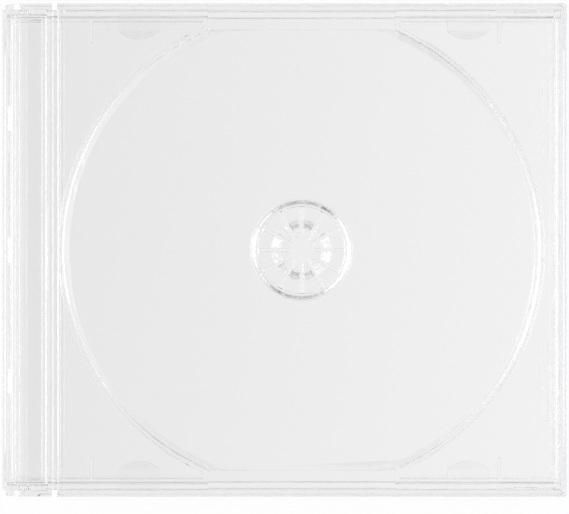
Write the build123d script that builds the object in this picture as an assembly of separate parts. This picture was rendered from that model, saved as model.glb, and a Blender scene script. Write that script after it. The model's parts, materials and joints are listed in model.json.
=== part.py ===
"""A compact-disc jewel case: a back cover, a disc tray that snaps into it and a hinged front lid.

Millimetres. The case lies closed on its back. +X runs from the hinge edge to the opening edge,
+Y runs up the front, +Z points out of the front lid, and the origin is the middle of the back face.
"""

import os
from math import radians, sin

from build123d import *

# Outside of the closed case
case_width = 142.0
case_height = 124.0
case_depth = 10.1
corner_radius = 0.8
edge_radius = 0.25

# What the case holds
disc_radius = 60.0
disc_bore_radius = 7.5
disc_thickness = 1.2
booklet_space = 1.6
card_space = 0.3
spine_card_space = 0.6

# Moulded walls
cover_sheet = 1.2
lid_wall = 1.45
back_wall = 1.2
end_wall = 1.3
tray_skin = 1.1
tray_flange = 1.0

# Clearances between the three mouldings
lid_gap = 0.15
tray_gap = 0.2
peg_clearance = 0.05

# Hinge: round-ended arms on the lid, with pegs that turn in the back cover's side walls
arm_inset = 0.35
peg_radius = 1.5
arm_setback = 0.1
arm_heel_radius = 8.4
hinge_cheek = 11.1

# Front lid
lid_edge_inset = 12.6
lid_rail_width = 1.5
lid_rail_depth = 0.5
lid_edge_round = 0.4
grip_pitch = 0.75
grip_depth = 0.25
grip_groove = 0.55
grip_left_margin = 2.2
grip_right_margin = 1.8
grip_border = 1.0
tab_spacing = 83.0
tab_shift = 4.8
tab_width = 10.4
tab_straight = 5.3
tab_reach = 7.3
tab_thickness = 1.0
tab_tip = 0.4
tab_bevel = 2.3
latch_length = 6.0
latch_height = 0.35
latch_radius = 1.2
latch_drop = 5.8

# Back cover
ledge_height = 1.9
side_wall_drop = 0.1
latch_window_length = 14.8
latch_window_depth = 0.5
latch_window_inset = 2.5
nub_spacing = 33.1
nub_length = 6.3
nub_reach = 0.45
nub_clearance = 0.1
nub_edge = 0.1

# Disc tray
disc_shift = 4.3
disc_gap = 0.4
recess_slope = 0.2
recess_bevel = 1.2
floor_thickness = 1.1
deck_clearance = 0.2
rail_width = 3.0
rail_rise = 0.7
window_angle = 23.1
strip_inset = 3.1
strip_width = 8.0
strip_drop = 0.1
strip_round = 0.4
flange_drop = 0.8
slot_length = 20.1
slot_width = 1.1
slot_inset = 4.35
rib_spacing = 103.6
rib_shift = 2.8
rib_length = 5.3
rib_thickness = 0.7

# Hub that holds the disc
petal_count = 12
seat_width = 4.8
seat_flare = 0.5
seat_rise = 1.4
seat_rim_width = 1.1
seat_step = 0.35
petal_slot = 0.7
petal_root_width = 3.3
petal_skin = 0.85
bore_play = 0.15
bore_grip = 0.1
disc_play = 0.15
grip_lead = 0.25
hub_crown_width = 3.5
hub_hole_radius = 3.0
hub_clearance = 0.1

# Places worked out from the sizes above
right = case_width / 2
left = -right
side = case_height / 2
pivot_z = case_depth / 2
arm_radius = pivot_z - arm_setback
pivot_x = left + arm_inset + arm_radius
lid_under = case_depth - cover_sheet
lid_left = left + lid_edge_inset
lid_inner_y = side - lid_wall
lid_wall_end = right - end_wall - lid_gap
lid_foot = ledge_height + arm_setback
tab_top = lid_under - booklet_space
tab_under = tab_top - tab_thickness
back_outer_y = lid_inner_y - lid_gap
back_inner_y = back_outer_y - back_wall
end_inner_x = right - end_wall
end_top = lid_under - lid_gap
tray_side_y = back_inner_y - tray_gap
tray_end_x = end_inner_x - spine_card_space
tray_bottom = cover_sheet + card_space
tray_floor = tray_bottom + floor_thickness
rail_height = tray_floor + rail_rise
seat_height = tray_floor + seat_rise
deck_height = tab_under - deck_clearance
side_wall_height = deck_height - side_wall_drop
flange_height = lid_under - flange_drop
strip_left = left + strip_inset
strip_right = strip_left + strip_width
strip_top = case_depth - strip_drop
recess_radius = disc_radius + disc_gap
recess_mouth = recess_radius + recess_slope
rail_inner_y = tray_side_y - rail_width
window_half = recess_mouth * sin(radians(window_angle))
neck_radius = disc_bore_radius - bore_play
hub_top = tab_top - hub_clearance


def block(x_from, x_to, y_from, y_to, z_from, z_to):
    """A box between two corners."""
    middle = Pos((x_from + x_to) / 2, (y_from + y_to) / 2, (z_from + z_to) / 2)
    return middle * Box(x_to - x_from, y_to - y_from, z_to - z_from)


def rectangle(x_from, x_to, y_from, y_to):
    """A flat rectangle between two corners."""
    return Pos((x_from + x_to) / 2, (y_from + y_to) / 2) * Rectangle(x_to - x_from, y_to - y_from)


def run_y(profile, y_from, y_to):
    """A profile drawn in X and Z, extruded along Y."""
    plane = Plane((0, y_to, 0), x_dir=(1, 0, 0), z_dir=(0, -1, 0))
    return extrude(plane * profile, y_to - y_from)


def run_x(profile, x_from, x_to):
    """A profile drawn in Y and Z, extruded along X."""
    plane = Plane((x_from, 0, 0), x_dir=(0, 1, 0), z_dir=(1, 0, 0))
    return extrude(plane * profile, x_to - x_from)


def run_z(profile, z_from, z_to):
    """A profile drawn in X and Y, extruded along Z."""
    return extrude(Pos(0, 0, z_from) * profile, z_to - z_from)


def both_sides(part):
    """The part and its mirror image across the middle of the case."""
    return part + mirror(part, Plane.XZ)


def outside_form():
    """The closed case as one rounded block, which gives both covers their outer corners and edges."""
    form = run_z(RectangleRounded(case_width, case_height, corner_radius), 0, case_depth)
    rims = form.edges().group_by(Axis.Z)
    return fillet(rims[0] + rims[-1], edge_radius)


def lid_side_wall():
    """One side wall of the lid with its hinge arm, whose end and heel are arcs about the pivot."""
    pivot = Pos(pivot_x, pivot_z)
    wall = rectangle(lid_left, lid_wall_end, lid_foot, case_depth)
    arm = rectangle(pivot_x, lid_left, pivot_z, case_depth - arm_setback)
    heel = rectangle(pivot_x, pivot_x + arm_heel_radius, arm_setback, pivot_z)
    heel = heel & (pivot * Circle(arm_heel_radius))
    profile = pivot * Circle(arm_radius) + arm + heel + wall
    side_wall = run_y(profile, lid_inner_y, side)
    peg = run_y(pivot * Circle(peg_radius), back_inner_y, side - lid_wall / 2)
    return side_wall + peg - grip_grooves()


def grip_grooves():
    """The fine upright grooves that leave grip ribs along the outside of a side wall."""
    start = lid_left + grip_left_margin
    end = right - grip_right_margin
    count = int((end - start) / grip_pitch)
    outside = side + grip_depth
    corners = [(0, side - grip_depth), (grip_groove, outside), (-grip_groove, outside)]
    groove = make_face(Polyline(*corners, close=True))
    middle = Pos((start + end) / 2, 0)
    row = [middle * place * groove for place in GridLocations(grip_pitch, 0, count, 1)]
    return run_z(Sketch() + row, lid_foot - grip_depth, lid_under - grip_border)


def booklet_tab():
    """A half-moon tongue on a side wall, flat on top and thinned underneath towards its round end."""
    half = tab_width / 2
    root = side - lid_wall / 2
    shoulder = lid_inner_y - tab_straight
    end = lid_inner_y - tab_reach
    sides = Polyline((-half, shoulder), (-half, root), (half, root), (half, shoulder))
    outline = make_face(sides + ThreePointArc((half, shoulder), (0, end), (-half, shoulder)))
    top_line = [(root, tab_top), (end, tab_top)]
    under_line = [(end, tab_top - tab_tip), (end + tab_bevel, tab_under), (root, tab_under)]
    section = make_face(Polyline(*top_line, *under_line, close=True))
    return run_z(outline, tab_under, tab_top) & run_x(section, -half, half)


def latch_bump():
    """A low bead inside a side wall, near the opening edge, that keeps the lid shut."""
    centre = Pos(lid_inner_y - latch_height + latch_radius, case_depth - latch_drop)
    bead = centre * Circle(latch_radius)
    inside = rectangle(back_inner_y, side - lid_wall / 2, 0, case_depth)
    middle = right - latch_window_inset - latch_window_length / 2
    return run_x(bead & inside, middle - latch_length / 2, middle + latch_length / 2)


def front_lid():
    """The lid: its sheet, a rail along the hinge edge, two side walls, four tabs and two beads."""
    sheet = block(lid_left, right, -side, side, lid_under, case_depth)
    hinge_edge = sheet.edges().filter_by(Axis.Y).group_by(Axis.X)[0]
    sheet = fillet(hinge_edge.sort_by(Axis.Z)[-1], lid_edge_round)
    rail_bottom = lid_under - lid_rail_depth
    rail = block(lid_left, lid_left + lid_rail_width, -lid_inner_y, lid_inner_y, rail_bottom, lid_under)
    one_side = lid_side_wall() + latch_bump()
    for end in (-1, 1):
        one_side += Pos(tab_shift + end * tab_spacing / 2, 0, 0) * booklet_tab()
    return (sheet + rail + both_sides(one_side)) & outside_form()


def peg_cheek():
    """The tall end of a back-cover side wall, bored for the lid's peg."""
    cheek = rectangle(left, left + hinge_cheek, 0, case_depth - arm_setback)
    bore = Pos(pivot_x, pivot_z) * Circle(peg_radius + peg_clearance)
    return run_y(cheek - bore, back_inner_y, back_outer_y)


def back_side_wall():
    """A low side wall, dipped where the disc's edge passes and hollowed outside for the lid's bead."""
    wall = block(left, right, back_inner_y, back_outer_y, 0, side_wall_height)
    wall -= disc_window(0, rail_height)
    window_right = right - latch_window_inset
    window_left = window_right - latch_window_length
    window_inner = back_outer_y - latch_window_depth
    wall -= block(window_left, window_right, window_inner, side, ledge_height, case_depth)
    pivot = Pos(pivot_x, pivot_z)
    wall -= run_y(pivot * Circle(peg_radius + peg_clearance), 0, side)
    return wall + peg_cheek()


def back_ledge():
    """The ledge under a lid side wall, cut back in an arc where the lid's arm turns."""
    ledge = rectangle(pivot_x, right, 0, ledge_height)
    sweep = Pos(pivot_x, pivot_z) * Circle(arm_heel_radius + lid_gap)
    return run_y(ledge - sweep, back_inner_y, side)


def tray_nub(top):
    """A wedge inside the opening-end wall that holds down the tray's flange."""
    catch = flange_height + nub_clearance
    tip = tray_end_x - nub_reach
    root = right - end_wall / 2
    corners = [(root, catch), (tip, catch), (tip, catch + nub_edge), (end_inner_x, top), (root, top)]
    return run_y(make_face(Polyline(*corners, close=True)), -nub_length / 2, nub_length / 2)


def back_cover():
    """The back: its sheet, the two spine walls, low side walls, ledges, hinge cheeks and tray nubs."""
    sheet = block(left, right, -back_outer_y, back_outer_y, 0, cover_sheet)
    hinge_end = block(left, left + end_wall, -back_outer_y, back_outer_y, 0, case_depth)
    opening_end = block(end_inner_x, right, -side, side, 0, end_top)
    cover = sheet + hinge_end + opening_end + both_sides(back_side_wall() + back_ledge())
    nub = tray_nub(end_top)
    for place in (-1, 0, 1):
        nub_here = Pos(0, place * nub_spacing, 0) * nub
        cover += nub_here
        cover += mirror(nub_here, Plane.YZ)
    return cover & outside_form()


def disc_well(radius, mouth, z_from, z_to):
    """A round well about the disc's centre, wider at its mouth and bevelled round its floor."""
    corners = [(0, z_from), (radius, z_from), (mouth, z_to), (0, z_to)]
    outline = make_face(Polyline(*corners, close=True))
    foot = outline.vertices().sort_by_distance((radius, z_from))[0]
    return Pos(disc_shift, 0, 0) * revolve(Plane.XZ * chamfer(foot, recess_bevel), Axis.Z)


def disc_window(border, z_from):
    """The openings at the top and bottom, open upwards, that the disc's edge reaches into."""
    half = window_half + border
    opening = block(disc_shift - half, disc_shift + half, rail_inner_y - border, side, z_from, case_depth)
    return both_sides(opening)


def tray_shell():
    """The tray's top surface, with the raised strip at the hinge, the flange and the open underside."""
    deck_end = tray_end_x - tray_flange
    hinge_outline = [(-tray_end_x, tray_bottom), (-tray_end_x, flange_height), (strip_left, flange_height)]
    strip_outline = [(strip_left, strip_top), (strip_right, strip_top), (strip_right, deck_height)]
    flange_outline = [(deck_end, deck_height), (deck_end, flange_height), (tray_end_x, flange_height)]
    foot = (tray_end_x, tray_bottom)
    outside = make_face(Polyline(*hinge_outline, *strip_outline, *flange_outline, foot, close=True))
    outside = fillet(outside.vertices().group_by(Axis.Y)[-1], strip_round)

    shoulder = flange_height - tray_skin
    deck_under = deck_height - tray_skin
    strip_under = strip_top - tray_skin
    wall_in = -tray_end_x + tray_flange
    channel_left = strip_left + tray_skin
    channel_right = strip_right - tray_skin
    hinge_inside = [(wall_in, tray_bottom), (wall_in, shoulder), (channel_left, shoulder)]
    strip_inside = [(channel_left, strip_under), (channel_right, strip_under), (channel_right, deck_under)]
    deck_inside = [(deck_end, deck_under), (deck_end, tray_bottom)]
    inside = make_face(Polyline(*hinge_inside, *strip_inside, *deck_inside, close=True))

    shell = run_y(outside, -tray_side_y, tray_side_y)
    skirt_inner = tray_side_y - tray_flange
    hollow = run_y(inside, -skirt_inner, skirt_inner)
    hollow -= disc_well(recess_radius + tray_skin, recess_mouth + tray_skin, tray_bottom, deck_height)
    return shell - (hollow - disc_window(tray_skin, tray_bottom))


def disc_recess():
    """The disc's well, cut off straight at the two rails, with a shallow window above each rail."""
    well = disc_well(recess_radius, recess_mouth, tray_floor, deck_height)
    well -= both_sides(block(left, right, rail_inner_y, side, tray_floor, deck_height))
    return well + disc_window(0, rail_height)


def hub():
    """The rimmed seat and the ring of sprung petals that grip the disc's bore, as one slit skin."""
    foot_radius = disc_bore_radius + seat_width + seat_flare
    rim_radius = foot_radius - seat_flare - seat_rim_width
    petal_height = seat_height - seat_step
    neck_top = seat_height + disc_thickness + disc_play
    crown_radius = hub_hole_radius + hub_crown_width
    seat = [(foot_radius, tray_bottom), (foot_radius, tray_floor), (foot_radius - seat_flare, seat_height)]
    step = [(rim_radius, seat_height), (rim_radius - seat_step, petal_height)]
    neck = [(neck_radius, petal_height), (neck_radius, neck_top)]
    crown = [(disc_bore_radius + bore_grip, neck_top + grip_lead), (crown_radius, hub_top)]
    opening = [(hub_hole_radius, hub_top), (hub_hole_radius, hub_top - petal_skin)]
    crown_in = [(crown_radius - petal_skin, hub_top - petal_skin), (neck_radius - petal_skin, neck_top)]
    seat_under = petal_height - petal_skin
    seat_in = [(neck_radius - petal_skin, seat_under), (foot_radius - petal_skin, seat_under)]
    end = (foot_radius - petal_skin, tray_bottom)
    outline = Polyline(*seat, *step, *neck, *crown, *opening, *crown_in, *seat_in, end, close=True)
    skin = revolve(Plane.XZ * make_face(outline), Axis.Z)

    slot_end = foot_radius - seat_flare - petal_root_width / 2
    slit = rectangle(0, slot_end, -petal_slot / 2, petal_slot / 2) + Pos(slot_end, 0) * Circle(petal_slot / 2)
    slits = [Rot(0, 0, turn * 360 / petal_count) * slit for turn in range(petal_count)]
    skin -= run_z(Sketch() + slits, tray_bottom, hub_top)
    return Pos(disc_shift, 0, 0) * skin


def disc_tray():
    """The tray: shell, disc recess, hub, the slots beside the flange and the ribs under the deck."""
    tray = tray_shell() - disc_recess()
    foot_radius = disc_bore_radius + seat_width + seat_flare
    tray -= Pos(disc_shift, 0, tray_floor) * Cylinder(foot_radius - petal_skin, seat_height)
    tray += hub()
    slot_right = right - slot_inset
    slot = block(slot_right - slot_width, slot_right, -slot_length / 2, slot_length / 2, tray_floor, case_depth)
    rib_root = tray_side_y - tray_flange / 2
    rib_end = tray_side_y - tray_flange - rib_length
    rib_top = deck_height - tray_skin / 2
    rib = block(-rib_thickness / 2, rib_thickness / 2, rib_end, rib_root, tray_bottom, rib_top)
    for end in (-1, 1):
        tray -= Pos(0, end * nub_spacing, 0) * slot
        tray += both_sides(Pos(rib_shift + end * rib_spacing / 2, 0, 0) * rib)
    return tray


os.makedirs("parts", exist_ok=True)
export_step(back_cover(), "parts/back_cover.step")
export_step(disc_tray(), "parts/disc_tray.step")
export_step(front_lid(), "parts/front_lid.step")
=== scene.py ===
"""Dresses the jewel case: three clear polystyrene mouldings on a plain pale floor under soft light."""

import json
from math import atan2, radians, sin

import bmesh
import bpy
from bpy.props import FloatProperty, FloatVectorProperty, IntProperty, PointerProperty
from mathutils import Matrix, Vector


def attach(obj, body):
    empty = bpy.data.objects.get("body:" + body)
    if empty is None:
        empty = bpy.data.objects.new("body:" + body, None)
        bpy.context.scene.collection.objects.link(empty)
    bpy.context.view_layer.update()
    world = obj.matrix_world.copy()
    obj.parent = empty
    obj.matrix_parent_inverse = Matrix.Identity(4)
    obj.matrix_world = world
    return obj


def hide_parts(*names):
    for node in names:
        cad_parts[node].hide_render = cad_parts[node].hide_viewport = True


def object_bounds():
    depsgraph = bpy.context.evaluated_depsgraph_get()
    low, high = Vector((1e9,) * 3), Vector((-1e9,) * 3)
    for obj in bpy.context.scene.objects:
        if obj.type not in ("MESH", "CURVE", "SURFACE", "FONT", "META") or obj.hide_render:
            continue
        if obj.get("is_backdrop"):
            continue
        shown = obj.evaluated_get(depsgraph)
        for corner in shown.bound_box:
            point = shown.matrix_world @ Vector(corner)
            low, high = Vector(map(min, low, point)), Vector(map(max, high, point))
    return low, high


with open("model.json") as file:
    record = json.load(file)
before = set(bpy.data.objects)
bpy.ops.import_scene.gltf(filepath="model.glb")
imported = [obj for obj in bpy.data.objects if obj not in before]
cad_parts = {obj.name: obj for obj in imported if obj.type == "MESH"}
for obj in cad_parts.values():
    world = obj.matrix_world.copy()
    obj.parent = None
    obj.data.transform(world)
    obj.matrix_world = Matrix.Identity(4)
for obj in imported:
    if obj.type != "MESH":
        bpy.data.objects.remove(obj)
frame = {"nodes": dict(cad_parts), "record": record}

bl_info = {
    "name": "Jewel Case",
    "version": (1, 0, 0),
    "blender": (4, 5, 0),
    "location": "View3D > Sidebar > Jewel Case",
    "description": "Finishes the three mouldings of a clear disc case and sets its stage",
    "category": "Object",
}

MM = 0.001
CASE_LOW, CASE_HIGH = (Vector(corner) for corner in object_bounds())
HUB = Vector(next(mount["pos_m"] for mount in frame["record"]["mounts"] if mount["name"] == "disc_hub"))

# How closely a solid's mesh is read
MERGE_DISTANCE = 0.001 * MM
FLAT_BEND = radians(0.5)
SHARP_BEND = radians(28)
LEVEL_PLAY = 0.01 * MM
PLACE_PLAY = 0.02 * MM
LONG_RUN = 9 * MM
STRAIGHT_SHARE = 0.999
ROOM_IN_RADII = 3

# Bends that still look sharp once the edges are rounded
LEFT_SHARP_BEND = radians(50)
FLAT_FACE_WEIGHT = 100

# The recess, as heights over the back face and radii about the hub
DECK = 6 * MM
WINDOW_SIDE = 54 * MM
RECESS_FLOOR = 59 * MM
RECESS_SKIN = 62 * MM
RECESS_FOOT = 60.3 * MM
SQUARE_FOOT = 61.5 * MM
FOOT_CEILING = HUB.z - 2 * MM

# The hub, as spans of radius
SEAT_EDGES = (11.5 * MM, 14 * MM)
CROWN_EDGES = (6.2 * MM, 7 * MM)
INSIDE_EDGES = (5.5 * MM, 6.7 * MM)
NECK_EDGES = (7.2 * MM, 7.5 * MM)
CROWN_FOOT = HUB.z + 2.5 * MM
PETAL_ANGLE = radians(30)
PETAL_REACH = 11.2 * MM
SLIT_HALF = 0.37 * MM

# The rail under the lid's hinge edge
RAIL_INSIDE = CASE_LOW.x + 14.1 * MM
RAIL_FOOT = CASE_HIGH.z - 1.6 * MM

# The line that runs between the room's two bright walls, and how far the camera sees
SLANT_LINE = Vector((0.99, -0.14, 0.0))
CAMERA_SIGHT = 10.0


def linear(hex_colour):
    """An sRGB hex colour as linear red, green and blue."""
    channels = [int(hex_colour[place:place + 2], 16) / 255 for place in (0, 2, 4)]
    return [c / 12.92 if c <= 0.04045 else ((c + 0.055) / 1.055) ** 2.4 for c in channels]


def add_node(tree, kind, settings=None, inputs=None):
    """A node with its settings and its inputs, which are values or another node's output sockets."""
    node = tree.nodes.new(kind)
    for name, value in (settings or {}).items():
        setattr(node, name, value)
    for name, value in (inputs or {}).items():
        if isinstance(value, bpy.types.NodeSocket):
            tree.links.new(value, node.inputs[name])
        else:
            node.inputs[name].default_value = value
    return node


def graded(tree, value, start, end, low, high, course="SMOOTHSTEP"):
    """A value's course between two places, as a level that goes from low to high."""
    node = add_node(tree, "ShaderNodeMapRange", {"interpolation_type": course},
                    {"Value": value, "From Min": start, "From Max": end, "To Min": low, "To Max": high})
    return node.outputs["Result"]


def empty_tree(owner):
    """The node tree of a material or world, with nothing in it."""
    owner.use_nodes = True
    owner.node_tree.nodes.clear()
    return owner.node_tree


class MouldingSettings(bpy.types.PropertyGroup):
    """The plastic of the three mouldings and how far their edges are rounded."""
    body_tint: FloatVectorProperty(
        name="Body tint", description="Colour that light takes on in the depth of the plastic",
        subtype="COLOR", size=3, min=0, max=1, default=linear("C4C4D4"))
    absorption: FloatProperty(
        name="Absorption", description="How strongly the plastic's depth tints, per metre", default=2.0)
    refractive_index: FloatProperty(
        name="Refractive index", description="How much the plastic bends light", default=1.59)
    roughness: FloatProperty(
        name="Roughness", description="Roughness of the polished surface", subtype="FACTOR", default=0.0)
    flow_length: FloatProperty(
        name="Flow length", description="Length of the faint waves that flow leaves in the plastic",
        unit="LENGTH", default=18 * MM)
    flow_height: FloatProperty(
        name="Flow height", description="Height of those waves", unit="LENGTH", default=0.002 * MM)
    fine_radius: FloatProperty(
        name="Fine radius", description="Radius of small edges, such as the grip ribs'",
        unit="LENGTH", default=0.06 * MM)
    wall_radius: FloatProperty(
        name="Wall radius", description="Radius along the long walls, rails and flanges",
        unit="LENGTH", default=0.2 * MM)
    ring_radius: FloatProperty(
        name="Ring radius", description="How far the edges of the disc's recess are rounded",
        unit="LENGTH", default=0.75 * MM)
    mouth_radius: FloatProperty(
        name="Mouth radius", description="Radius where the recess's wall meets the deck",
        unit="LENGTH", default=1.3 * MM)
    hub_radius: FloatProperty(
        name="Hub radius", description="How far the edges of the hub's seat and neck are rounded",
        unit="LENGTH", default=0.45 * MM)
    crown_radius: FloatProperty(
        name="Crown radius", description="How far the hub's crown is domed",
        unit="LENGTH", default=1.6 * MM)
    inside_radius: FloatProperty(
        name="Inside radius", description="How far the petals' inner bends are rounded",
        unit="LENGTH", default=0.6 * MM)
    petal_radius: FloatProperty(
        name="Petal radius", description="How far the edges of the hub's slits are rounded",
        unit="LENGTH", default=0.25 * MM)
    rail_radius: FloatProperty(
        name="Rail radius", description="Radius along the rail under the lid's hinge edge",
        unit="LENGTH", default=0.42 * MM)
    segments: IntProperty(name="Segments", description="Steps across each rounded edge", default=4)


class StageSettings(bpy.types.PropertyGroup):
    """The camera's place over the case, the paper it lies on and the room's light."""
    photo_width: IntProperty(name="Photo width", description="Pixels across", subtype="PIXEL", default=569)
    photo_height: IntProperty(name="Photo height", description="Pixels down", subtype="PIXEL", default=514)
    case_left: IntProperty(name="Case left", description="Pixel of its left edge", subtype="PIXEL", default=2)
    case_right: IntProperty(
        name="Case right", description="Pixel of its right edge", subtype="PIXEL", default=567)
    case_middle: IntProperty(
        name="Case middle", description="Pixel row of its middle", subtype="PIXEL", default=250)
    camera_height: FloatProperty(
        name="Camera height", description="Height over the front lid", unit="LENGTH", default=0.55)
    bounces: IntProperty(
        name="Bounces", description="How often light is followed from face to face in the plastic",
        default=128)
    ceiling_left: FloatProperty(name="Ceiling left", description="Level overhead, to the left", default=0.4)
    ceiling_right: FloatProperty(
        name="Ceiling right", description="Level overhead, to the right", default=0.92)
    ceiling_reach: FloatProperty(
        name="Ceiling reach", description="How far out from overhead those levels lie", default=0.18)
    ceiling_edge: FloatProperty(
        name="Ceiling edge", description="Height in the room where the ceiling gives way to the walls",
        default=0.97)
    wall_top: FloatProperty(
        name="Wall top", description="Height in the room where the walls' full level is reached", default=0.8)
    side_wall: FloatProperty(name="Side wall", description="Level across the slant line", default=0.04)
    left_wall: FloatProperty(name="Left wall", description="Level at its left end", default=1.3)
    right_wall: FloatProperty(name="Right wall", description="Level at its right end", default=1.6)
    wall_start: FloatProperty(
        name="Wall start", description="How far along the slant line the end walls start", default=0.22)
    wall_full: FloatProperty(
        name="Wall full", description="How far along it they reach their full level", default=0.6)
    skirting_top: FloatProperty(
        name="Skirting top", description="Height in the room under which the walls darken", default=0.5)
    skirting_foot: FloatProperty(
        name="Skirting foot", description="Height in the room where they are darkest", default=0.3)
    skirting_shade: FloatProperty(
        name="Skirting shade", description="Share of the walls' light that is left there", default=0.4)
    flag_near: FloatProperty(
        name="Flag near", description="How far left of overhead the dark flag starts", default=0.097)
    flag_far: FloatProperty(
        name="Flag far", description="How far left the flag reaches its full shade", default=0.108)
    flag_shade: FloatProperty(
        name="Flag shade", description="Share of the ceiling's light that the flag leaves", default=0.4)
    floor_size: FloatProperty(name="Floor size", description="Half its width", unit="LENGTH", default=4.0)
    floor_gap: FloatProperty(
        name="Floor gap", description="Air between the paper and the case's back",
        unit="LENGTH", default=0.05 * MM)
    paper_evenness: FloatProperty(
        name="Paper evenness", description="How little the shadow shows on the paper", default=0.95)
    # Painted shadow: how far the paper's glow is lowered where it is seen through the plastic
    painted_paper_shade: FloatProperty(
        name="Paper shade", description="How much darker the paper is under the case", default=0.1)
    lamp_size: FloatProperty(name="Lamp size", description="Width of a softbox", unit="LENGTH", default=0.7)
    lamp_power: FloatProperty(name="Lamp power", description="Of each softbox", unit="POWER", default=3.0)
    lamp_reach: FloatProperty(
        name="Lamp reach", description="How far each softbox stands off", unit="LENGTH", default=1.1)
    lamp_height: FloatProperty(
        name="Lamp height", description="Height of each softbox", unit="LENGTH", default=0.9)


def clear_polystyrene(settings):
    """General-purpose polystyrene, injection moulded in a polished tool.

    It is clear as glass with a strong gloss. Its depth is faintly blue, which shows where light runs
    along a wall, and the melt's flow leaves slow waves that just unsettle the reflections.
    """
    material = bpy.data.materials.new("clear_polystyrene")
    tree = empty_tree(material)
    place = add_node(tree, "ShaderNodeTexCoord").outputs["Object"]
    flow = add_node(tree, "ShaderNodeTexNoise", {"noise_dimensions": "3D"},
                    {"Vector": place, "Scale": 1 / settings.flow_length, "Detail": 1.0})
    bump = add_node(tree, "ShaderNodeBump", {},
                    {"Height": flow.outputs["Fac"], "Strength": 1.0, "Distance": settings.flow_height})
    shader = add_node(tree, "ShaderNodeBsdfPrincipled", {}, {
        "Base Color": [1.0, 1.0, 1.0, 1.0],
        "Roughness": settings.roughness,
        "IOR": settings.refractive_index,
        "Transmission Weight": 1.0,
        "Normal": bump.outputs["Normal"],
    })
    depth = add_node(tree, "ShaderNodeVolumeAbsorption", {},
                     {"Color": [*settings.body_tint, 1.0], "Density": settings.absorption})
    add_node(tree, "ShaderNodeOutputMaterial", {},
             {"Surface": shader.outputs["BSDF"], "Volume": depth.outputs["Volume"]})
    return material


def merged_copy(node_name):
    """A node's solid as one closed mesh whose flat faces are whole."""
    shape = bmesh.new()
    shape.from_mesh(frame["nodes"][node_name].data)
    bmesh.ops.remove_doubles(shape, verts=shape.verts, dist=MERGE_DISTANCE)
    bmesh.ops.dissolve_limit(shape, angle_limit=FLAT_BEND, verts=shape.verts, edges=shape.edges)
    return shape


def sharp_edges(shape, chosen):
    """The sharp edges that a rule picks."""
    return [edge for edge in shape.edges if edge.calc_face_angle() > SHARP_BEND and chosen(edge)]


def runs_round_hub(edge, low, high):
    """Whether an edge is part of a level circle about the hub, with a radius between two values."""
    start, end = (vert.co - HUB for vert in edge.verts)
    radius = start.xy.length
    level = abs(start.z - end.z) < LEVEL_PLAY
    round_hub = abs(radius - end.xy.length) < PLACE_PLAY
    return level and round_hub and low < radius < high


def is_by_recess(edge):
    """Whether an edge runs round the recess's wall, clear of the windows at its top and bottom."""
    clear = max(abs(vert.co.y) for vert in edge.verts) < WINDOW_SIDE
    return clear and runs_round_hub(edge, RECESS_FLOOR, RECESS_SKIN)


def is_recess_foot(vert):
    """Whether a corner is on the inner edge of the bevel under the recess's wall."""
    radius = (vert.co - HUB).xy.length
    return vert.co.z < FOOT_CEILING and abs(radius - RECESS_FOOT) < PLACE_PLAY


def is_over(edge, height):
    """Whether an edge reaches over a height."""
    return max(vert.co.z for vert in edge.verts) > height


def has_room(edge, radius):
    """Whether every edge that meets this one is long enough for it to be rounded."""
    meeting = [other for vert in edge.verts for other in vert.link_edges]
    return min(other.calc_length() for other in meeting) > ROOM_IN_RADII * radius


def is_by_slit(edge):
    """Whether an edge runs along one of the slits between the hub's petals."""
    for vert in edge.verts:
        flat = (vert.co - HUB).xy
        turn = atan2(flat.y, flat.x) % PETAL_ANGLE
        off_middle = flat.length * sin(min(turn, PETAL_ANGLE - turn))
        if flat.length > PETAL_REACH or off_middle > SLIT_HALF:
            return False
    return True


def is_rail_foot(edge):
    """Whether an edge is the lower inner one of the rail under the lid's hinge edge."""
    return all(abs(vert.co.x - RAIL_INSIDE) < PLACE_PLAY and vert.co.z < RAIL_FOOT for vert in edge.verts)


def is_long(edge):
    """Whether an edge runs straight along a wall, a rail or a flange."""
    run = edge.verts[1].co - edge.verts[0].co
    return run.length > LONG_RUN and max(abs(part) for part in run) > STRAIGHT_SHARE * run.length


def soften(shape, edges, radius, segments, clamp=True):
    """Rounds edges with arcs."""
    bmesh.ops.bevel(shape, geom=edges, offset=radius, offset_type="OFFSET", affect="EDGES",
                    segments=segments, profile=0.5, material=-1, clamp_overlap=clamp)


def soften_recess(shape, settings):
    """Squares the foot of the recess's wall, then rounds the wall and its mouth."""
    foot = [vert for vert in shape.verts if is_recess_foot(vert)]
    spread = SQUARE_FOOT / RECESS_FOOT
    bmesh.ops.scale(shape, vec=(spread, spread, 1), verts=foot, space=Matrix.Translation(-HUB))
    wall = sharp_edges(shape, lambda edge: is_by_recess(edge) and not is_over(edge, DECK))
    soften(shape, wall, settings.ring_radius, settings.segments)
    mouth = sharp_edges(shape, lambda edge: is_by_recess(edge) and is_over(edge, DECK))
    soften(shape, mouth, settings.mouth_radius, 2 * settings.segments)


def soften_hub(shape, settings):
    """Rounds the hub's seat, domes its crown, and rounds the petals' bends, roots and slits."""
    seat = sharp_edges(shape, lambda edge: runs_round_hub(edge, *SEAT_EDGES))
    soften(shape, seat, settings.hub_radius, settings.segments)
    crown = sharp_edges(shape, lambda edge: runs_round_hub(edge, *CROWN_EDGES)
                        and is_over(edge, CROWN_FOOT))
    soften(shape, crown, settings.crown_radius, 2 * settings.segments)
    inside = sharp_edges(shape, lambda edge: runs_round_hub(edge, *INSIDE_EDGES)
                         and not is_over(edge, CROWN_FOOT))
    soften(shape, inside, settings.inside_radius, settings.segments)
    root = sharp_edges(shape, lambda edge: runs_round_hub(edge, *NECK_EDGES)
                       and not is_over(edge, HUB.z))
    soften(shape, root, settings.hub_radius, settings.segments)
    slits = sharp_edges(shape, is_by_slit)
    soften(shape, slits, settings.petal_radius, settings.segments // 2, clamp=False)


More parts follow.
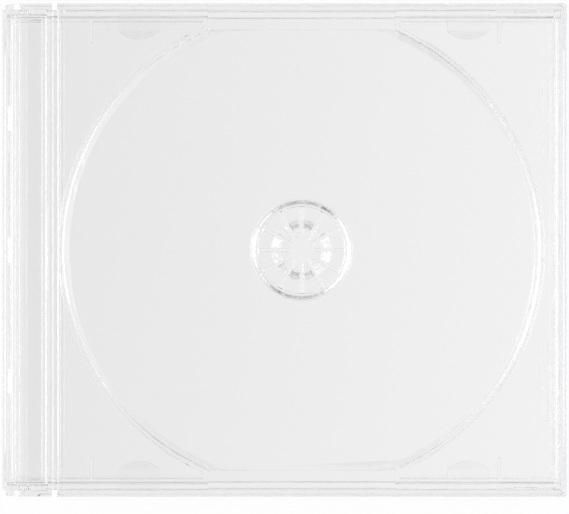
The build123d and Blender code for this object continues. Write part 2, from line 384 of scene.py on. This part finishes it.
def soften_straight_and_small(shape, settings):
    """Rounds the long straight edges, and then every sharp edge that is left and has room."""
    long = sharp_edges(shape, lambda edge: is_long(edge) and has_room(edge, settings.wall_radius))
    soften(shape, long, settings.wall_radius, settings.segments)
    fine = sharp_edges(shape, lambda edge: has_room(edge, settings.fine_radius))
    soften(shape, fine, settings.fine_radius, settings.segments // 2)


def finish_moulding(shape, node_name, body, material):
    """Makes a softened shape the visible piece that stands for a node and rides on its body."""
    for face in shape.faces:
        face.smooth = True
    for edge in shape.edges:
        edge.smooth = edge.calc_face_angle() < LEFT_SHARP_BEND
    name = "clear_" + node_name
    mesh = bpy.data.meshes.new(name)
    shape.to_mesh(mesh)
    shape.free()
    mesh.materials.append(material)
    piece = bpy.data.objects.new(name, mesh)
    bpy.context.scene.collection.objects.link(piece)
    flats = piece.modifiers.new("flat_faces_stay_flat", "WEIGHTED_NORMAL")
    flats.mode = "FACE_AREA"
    flats.weight = FLAT_FACE_WEIGHT
    flats.keep_sharp = True
    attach(piece, body)
    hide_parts(node_name)


def plastic(settings):
    """The one plastic that all three mouldings share."""
    return bpy.data.materials.get("clear_polystyrene") or clear_polystyrene(settings)


class JEWEL_CASE_OT_back_cover(bpy.types.Operator):
    """Softens the back cover's walls, ledges, cheeks and nubs as its mould does"""
    bl_idname = "jewel_case.back_cover"
    bl_label = "Back cover"

    def execute(self, context):
        settings = context.scene.jewel_case_moulding
        shape = merged_copy("back_cover")
        soften_straight_and_small(shape, settings)
        finish_moulding(shape, "back_cover", "case", plastic(settings))
        return {"FINISHED"}


class JEWEL_CASE_OT_disc_tray(bpy.types.Operator):
    """Softens the disc tray's recess, hub, rails, strip and slots as its mould does"""
    bl_idname = "jewel_case.disc_tray"
    bl_label = "Disc tray"

    def execute(self, context):
        settings = context.scene.jewel_case_moulding
        shape = merged_copy("disc_tray")
        soften_recess(shape, settings)
        soften_hub(shape, settings)
        soften_straight_and_small(shape, settings)
        finish_moulding(shape, "disc_tray", "case", plastic(settings))
        return {"FINISHED"}


class JEWEL_CASE_OT_front_lid(bpy.types.Operator):
    """Softens the front lid's arms, tabs, beads and grip ribs as its mould does"""
    bl_idname = "jewel_case.front_lid"
    bl_label = "Front lid"

    def execute(self, context):
        settings = context.scene.jewel_case_moulding
        shape = merged_copy("front_lid")
        soften(shape, sharp_edges(shape, is_rail_foot), settings.rail_radius, settings.segments)
        soften_straight_and_small(shape, settings)
        finish_moulding(shape, "front_lid", "lid", plastic(settings))
        return {"FINISHED"}


def studio_room(settings):
    """The room: a grey ceiling, bright walls at the ends of the slant line and dark ones across it.

    The flat faces mirror the ceiling, which keeps them a shade under the paper, and a dark flag
    overhead to the left gives the strip beside the hinge its deeper grey. The rounded edges mirror
    the walls, so they are light to the left and right and dark at the top and bottom. Low down the
    walls are darker, so the sheets still show when the case is seen from a side.
    """
    world = bpy.data.worlds.new("studio")
    tree = empty_tree(world)
    direction = add_node(tree, "ShaderNodeTexCoord").outputs["Generated"]
    parts = add_node(tree, "ShaderNodeSeparateXYZ", {}, {"Vector": direction}).outputs
    along = add_node(tree, "ShaderNodeVectorMath", {"operation": "DOT_PRODUCT"},
                     {0: direction, 1: SLANT_LINE}).outputs["Value"]

    even_ceiling = graded(tree, along, -settings.ceiling_reach, settings.ceiling_reach,
                          settings.ceiling_left, settings.ceiling_right, "LINEAR")
    flag = graded(tree, parts["X"], -settings.flag_near, -settings.flag_far, 1.0, settings.flag_shade)
    ceiling = add_node(tree, "ShaderNodeMath", {"operation": "MULTIPLY"}, {0: even_ceiling, 1: flag})
    right_wall = graded(tree, along, settings.wall_start, settings.wall_full,
                        settings.side_wall, settings.right_wall)
    left_wall = graded(tree, along, -settings.wall_start, -settings.wall_full,
                       settings.side_wall, settings.left_wall)
    even_walls = add_node(tree, "ShaderNodeMath", {"operation": "MAXIMUM"}, {0: right_wall, 1: left_wall})
    skirting = graded(tree, parts["Z"], settings.skirting_top, settings.skirting_foot,
                      1.0, settings.skirting_shade)
    walls = add_node(tree, "ShaderNodeMath", {"operation": "MULTIPLY"},
                     {0: even_walls.outputs[0], 1: skirting})
    lowness = graded(tree, parts["Z"], settings.ceiling_edge, settings.wall_top, 0.0, 1.0)
    room = add_node(tree, "ShaderNodeMix", {"data_type": "FLOAT"},
                    {"Factor": lowness, "A": ceiling.outputs[0], "B": walls.outputs[0]})
    seen = add_node(tree, "ShaderNodeLightPath").outputs["Is Camera Ray"]
    level = add_node(tree, "ShaderNodeMath", {"operation": "MAXIMUM"}, {0: room.outputs["Result"], 1: seen})
    back = add_node(tree, "ShaderNodeBackground", {}, {"Color": [1, 1, 1, 1], "Strength": level.outputs[0]})
    add_node(tree, "ShaderNodeOutputWorld", {}, {"Surface": back.outputs["Background"]})
    return world


def white_paper(settings):
    """Matt white background paper.

    The camera sees it near white with the case's shadow on it. Seen through the plastic its glow is set a
    shade darker. That is a painted shadow, which stands for the light lost on its way through the plastic.
    """
    material = bpy.data.materials.new("white_paper")
    tree = empty_tree(material)
    path = add_node(tree, "ShaderNodeLightPath").outputs
    through = add_node(tree, "ShaderNodeMath", {"operation": "MAXIMUM"},
                       {0: path["Is Glossy Ray"], 1: path["Is Transmission Ray"]}).outputs[0]
    direct = add_node(tree, "ShaderNodeMath", {"operation": "MULTIPLY"},
                      {0: path["Is Camera Ray"], 1: settings.paper_evenness}).outputs[0]
    share = add_node(tree, "ShaderNodeMath", {"operation": "MAXIMUM"}, {0: through, 1: direct}).outputs[0]
    # Painted shadow: glossy and transmission rays see the paper's glow lowered by this share
    shade = add_node(tree, "ShaderNodeMath", {"operation": "MULTIPLY"}, {0: through, 1: settings.painted_paper_shade})
    level = add_node(tree, "ShaderNodeMath", {"operation": "SUBTRACT"}, {0: 1.0, 1: shade.outputs[0]})
    paper = add_node(tree, "ShaderNodeBsdfDiffuse", {}, {"Color": [*linear("FAFAFA"), 1]})
    white = add_node(tree, "ShaderNodeEmission", {}, {"Color": [1, 1, 1, 1], "Strength": level.outputs[0]})
    mix = add_node(tree, "ShaderNodeMixShader", {},
                   {"Fac": share, 1: paper.outputs["BSDF"], 2: white.outputs["Emission"]})
    add_node(tree, "ShaderNodeOutputMaterial", {}, {"Surface": mix.outputs["Shader"]})
    return material


class JEWEL_CASE_OT_stage(bpy.types.Operator):
    """Sets the floor, the softboxes, the room and the camera that looks straight down on the case"""
    bl_idname = "jewel_case.stage"
    bl_label = "Stage"

    def execute(self, context):
        settings = context.scene.jewel_case_stage
        scene = context.scene
        scene.view_settings.view_transform = "Standard"
        scene.cycles.max_bounces = settings.bounces
        scene.cycles.transmission_bounces = settings.bounces
        scene.cycles.glossy_bounces = settings.bounces
        scene.world = studio_room(settings)

        floor_mesh = bpy.data.meshes.new("floor")
        shape = bmesh.new()
        bmesh.ops.create_grid(shape, x_segments=1, y_segments=1, size=settings.floor_size)
        shape.to_mesh(floor_mesh)
        shape.free()
        floor_mesh.materials.append(white_paper(settings))
        floor_mesh.transform(Matrix.Translation((0, 0, -settings.floor_gap)))
        floor = bpy.data.objects.new("floor", floor_mesh)
        scene.collection.objects.link(floor)
        floor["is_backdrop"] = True

        for side in (1, -1):
            lamp_data = bpy.data.lights.new("softbox_right" if side > 0 else "softbox_left", "AREA")
            lamp_data.shape = "SQUARE"
            lamp_data.size = settings.lamp_size
            lamp_data.energy = settings.lamp_power
            lamp = bpy.data.objects.new(lamp_data.name, lamp_data)
            scene.collection.objects.link(lamp)
            reach = SLANT_LINE * side * settings.lamp_reach
            lamp.location = (reach.x, reach.y, settings.lamp_height)
            lamp.rotation_euler = (-lamp.location).to_track_quat("-Z", "Y").to_euler()

        pixel = (CASE_HIGH.x - CASE_LOW.x) / (settings.case_right - settings.case_left)
        across = (settings.photo_width / 2 - (settings.case_left + settings.case_right) / 2) * pixel
        along = (settings.case_middle - settings.photo_height / 2) * pixel
        camera_data = bpy.data.cameras.new("camera")
        camera_data.lens = camera_data.sensor_width * settings.camera_height / (pixel * settings.photo_width)
        camera_data.clip_end = CAMERA_SIGHT
        camera = bpy.data.objects.new("camera", camera_data)
        scene.collection.objects.link(camera)
        camera.location = (across, along, CASE_HIGH.z + settings.camera_height)
        scene.camera = camera
        return {"FINISHED"}


class JEWEL_CASE_PT_sidebar(bpy.types.Panel):
    """Lists the case's pieces and its stage in the order they are made"""
    bl_idname = "JEWEL_CASE_PT_sidebar"
    bl_label = "Jewel Case"
    bl_space_type = "VIEW_3D"
    bl_region_type = "UI"
    bl_category = "Jewel Case"

    def draw(self, context):
        for operator in OPERATORS:
            self.layout.operator(operator.bl_idname)


OPERATORS = (JEWEL_CASE_OT_back_cover, JEWEL_CASE_OT_disc_tray, JEWEL_CASE_OT_front_lid, JEWEL_CASE_OT_stage)
CLASSES = (MouldingSettings, StageSettings, *OPERATORS, JEWEL_CASE_PT_sidebar)


def register():
    for item in CLASSES:
        bpy.utils.register_class(item)
    bpy.types.Scene.jewel_case_moulding = PointerProperty(type=MouldingSettings)
    bpy.types.Scene.jewel_case_stage = PointerProperty(type=StageSettings)


def unregister():
    del bpy.types.Scene.jewel_case_stage
    del bpy.types.Scene.jewel_case_moulding
    for item in reversed(CLASSES):
        bpy.utils.unregister_class(item)


def main():
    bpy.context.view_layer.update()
    register()
    bpy.ops.jewel_case.back_cover()
    bpy.ops.jewel_case.disc_tray()
    bpy.ops.jewel_case.front_lid()
    bpy.ops.jewel_case.stage()


if __name__ == "__main__":
    main()
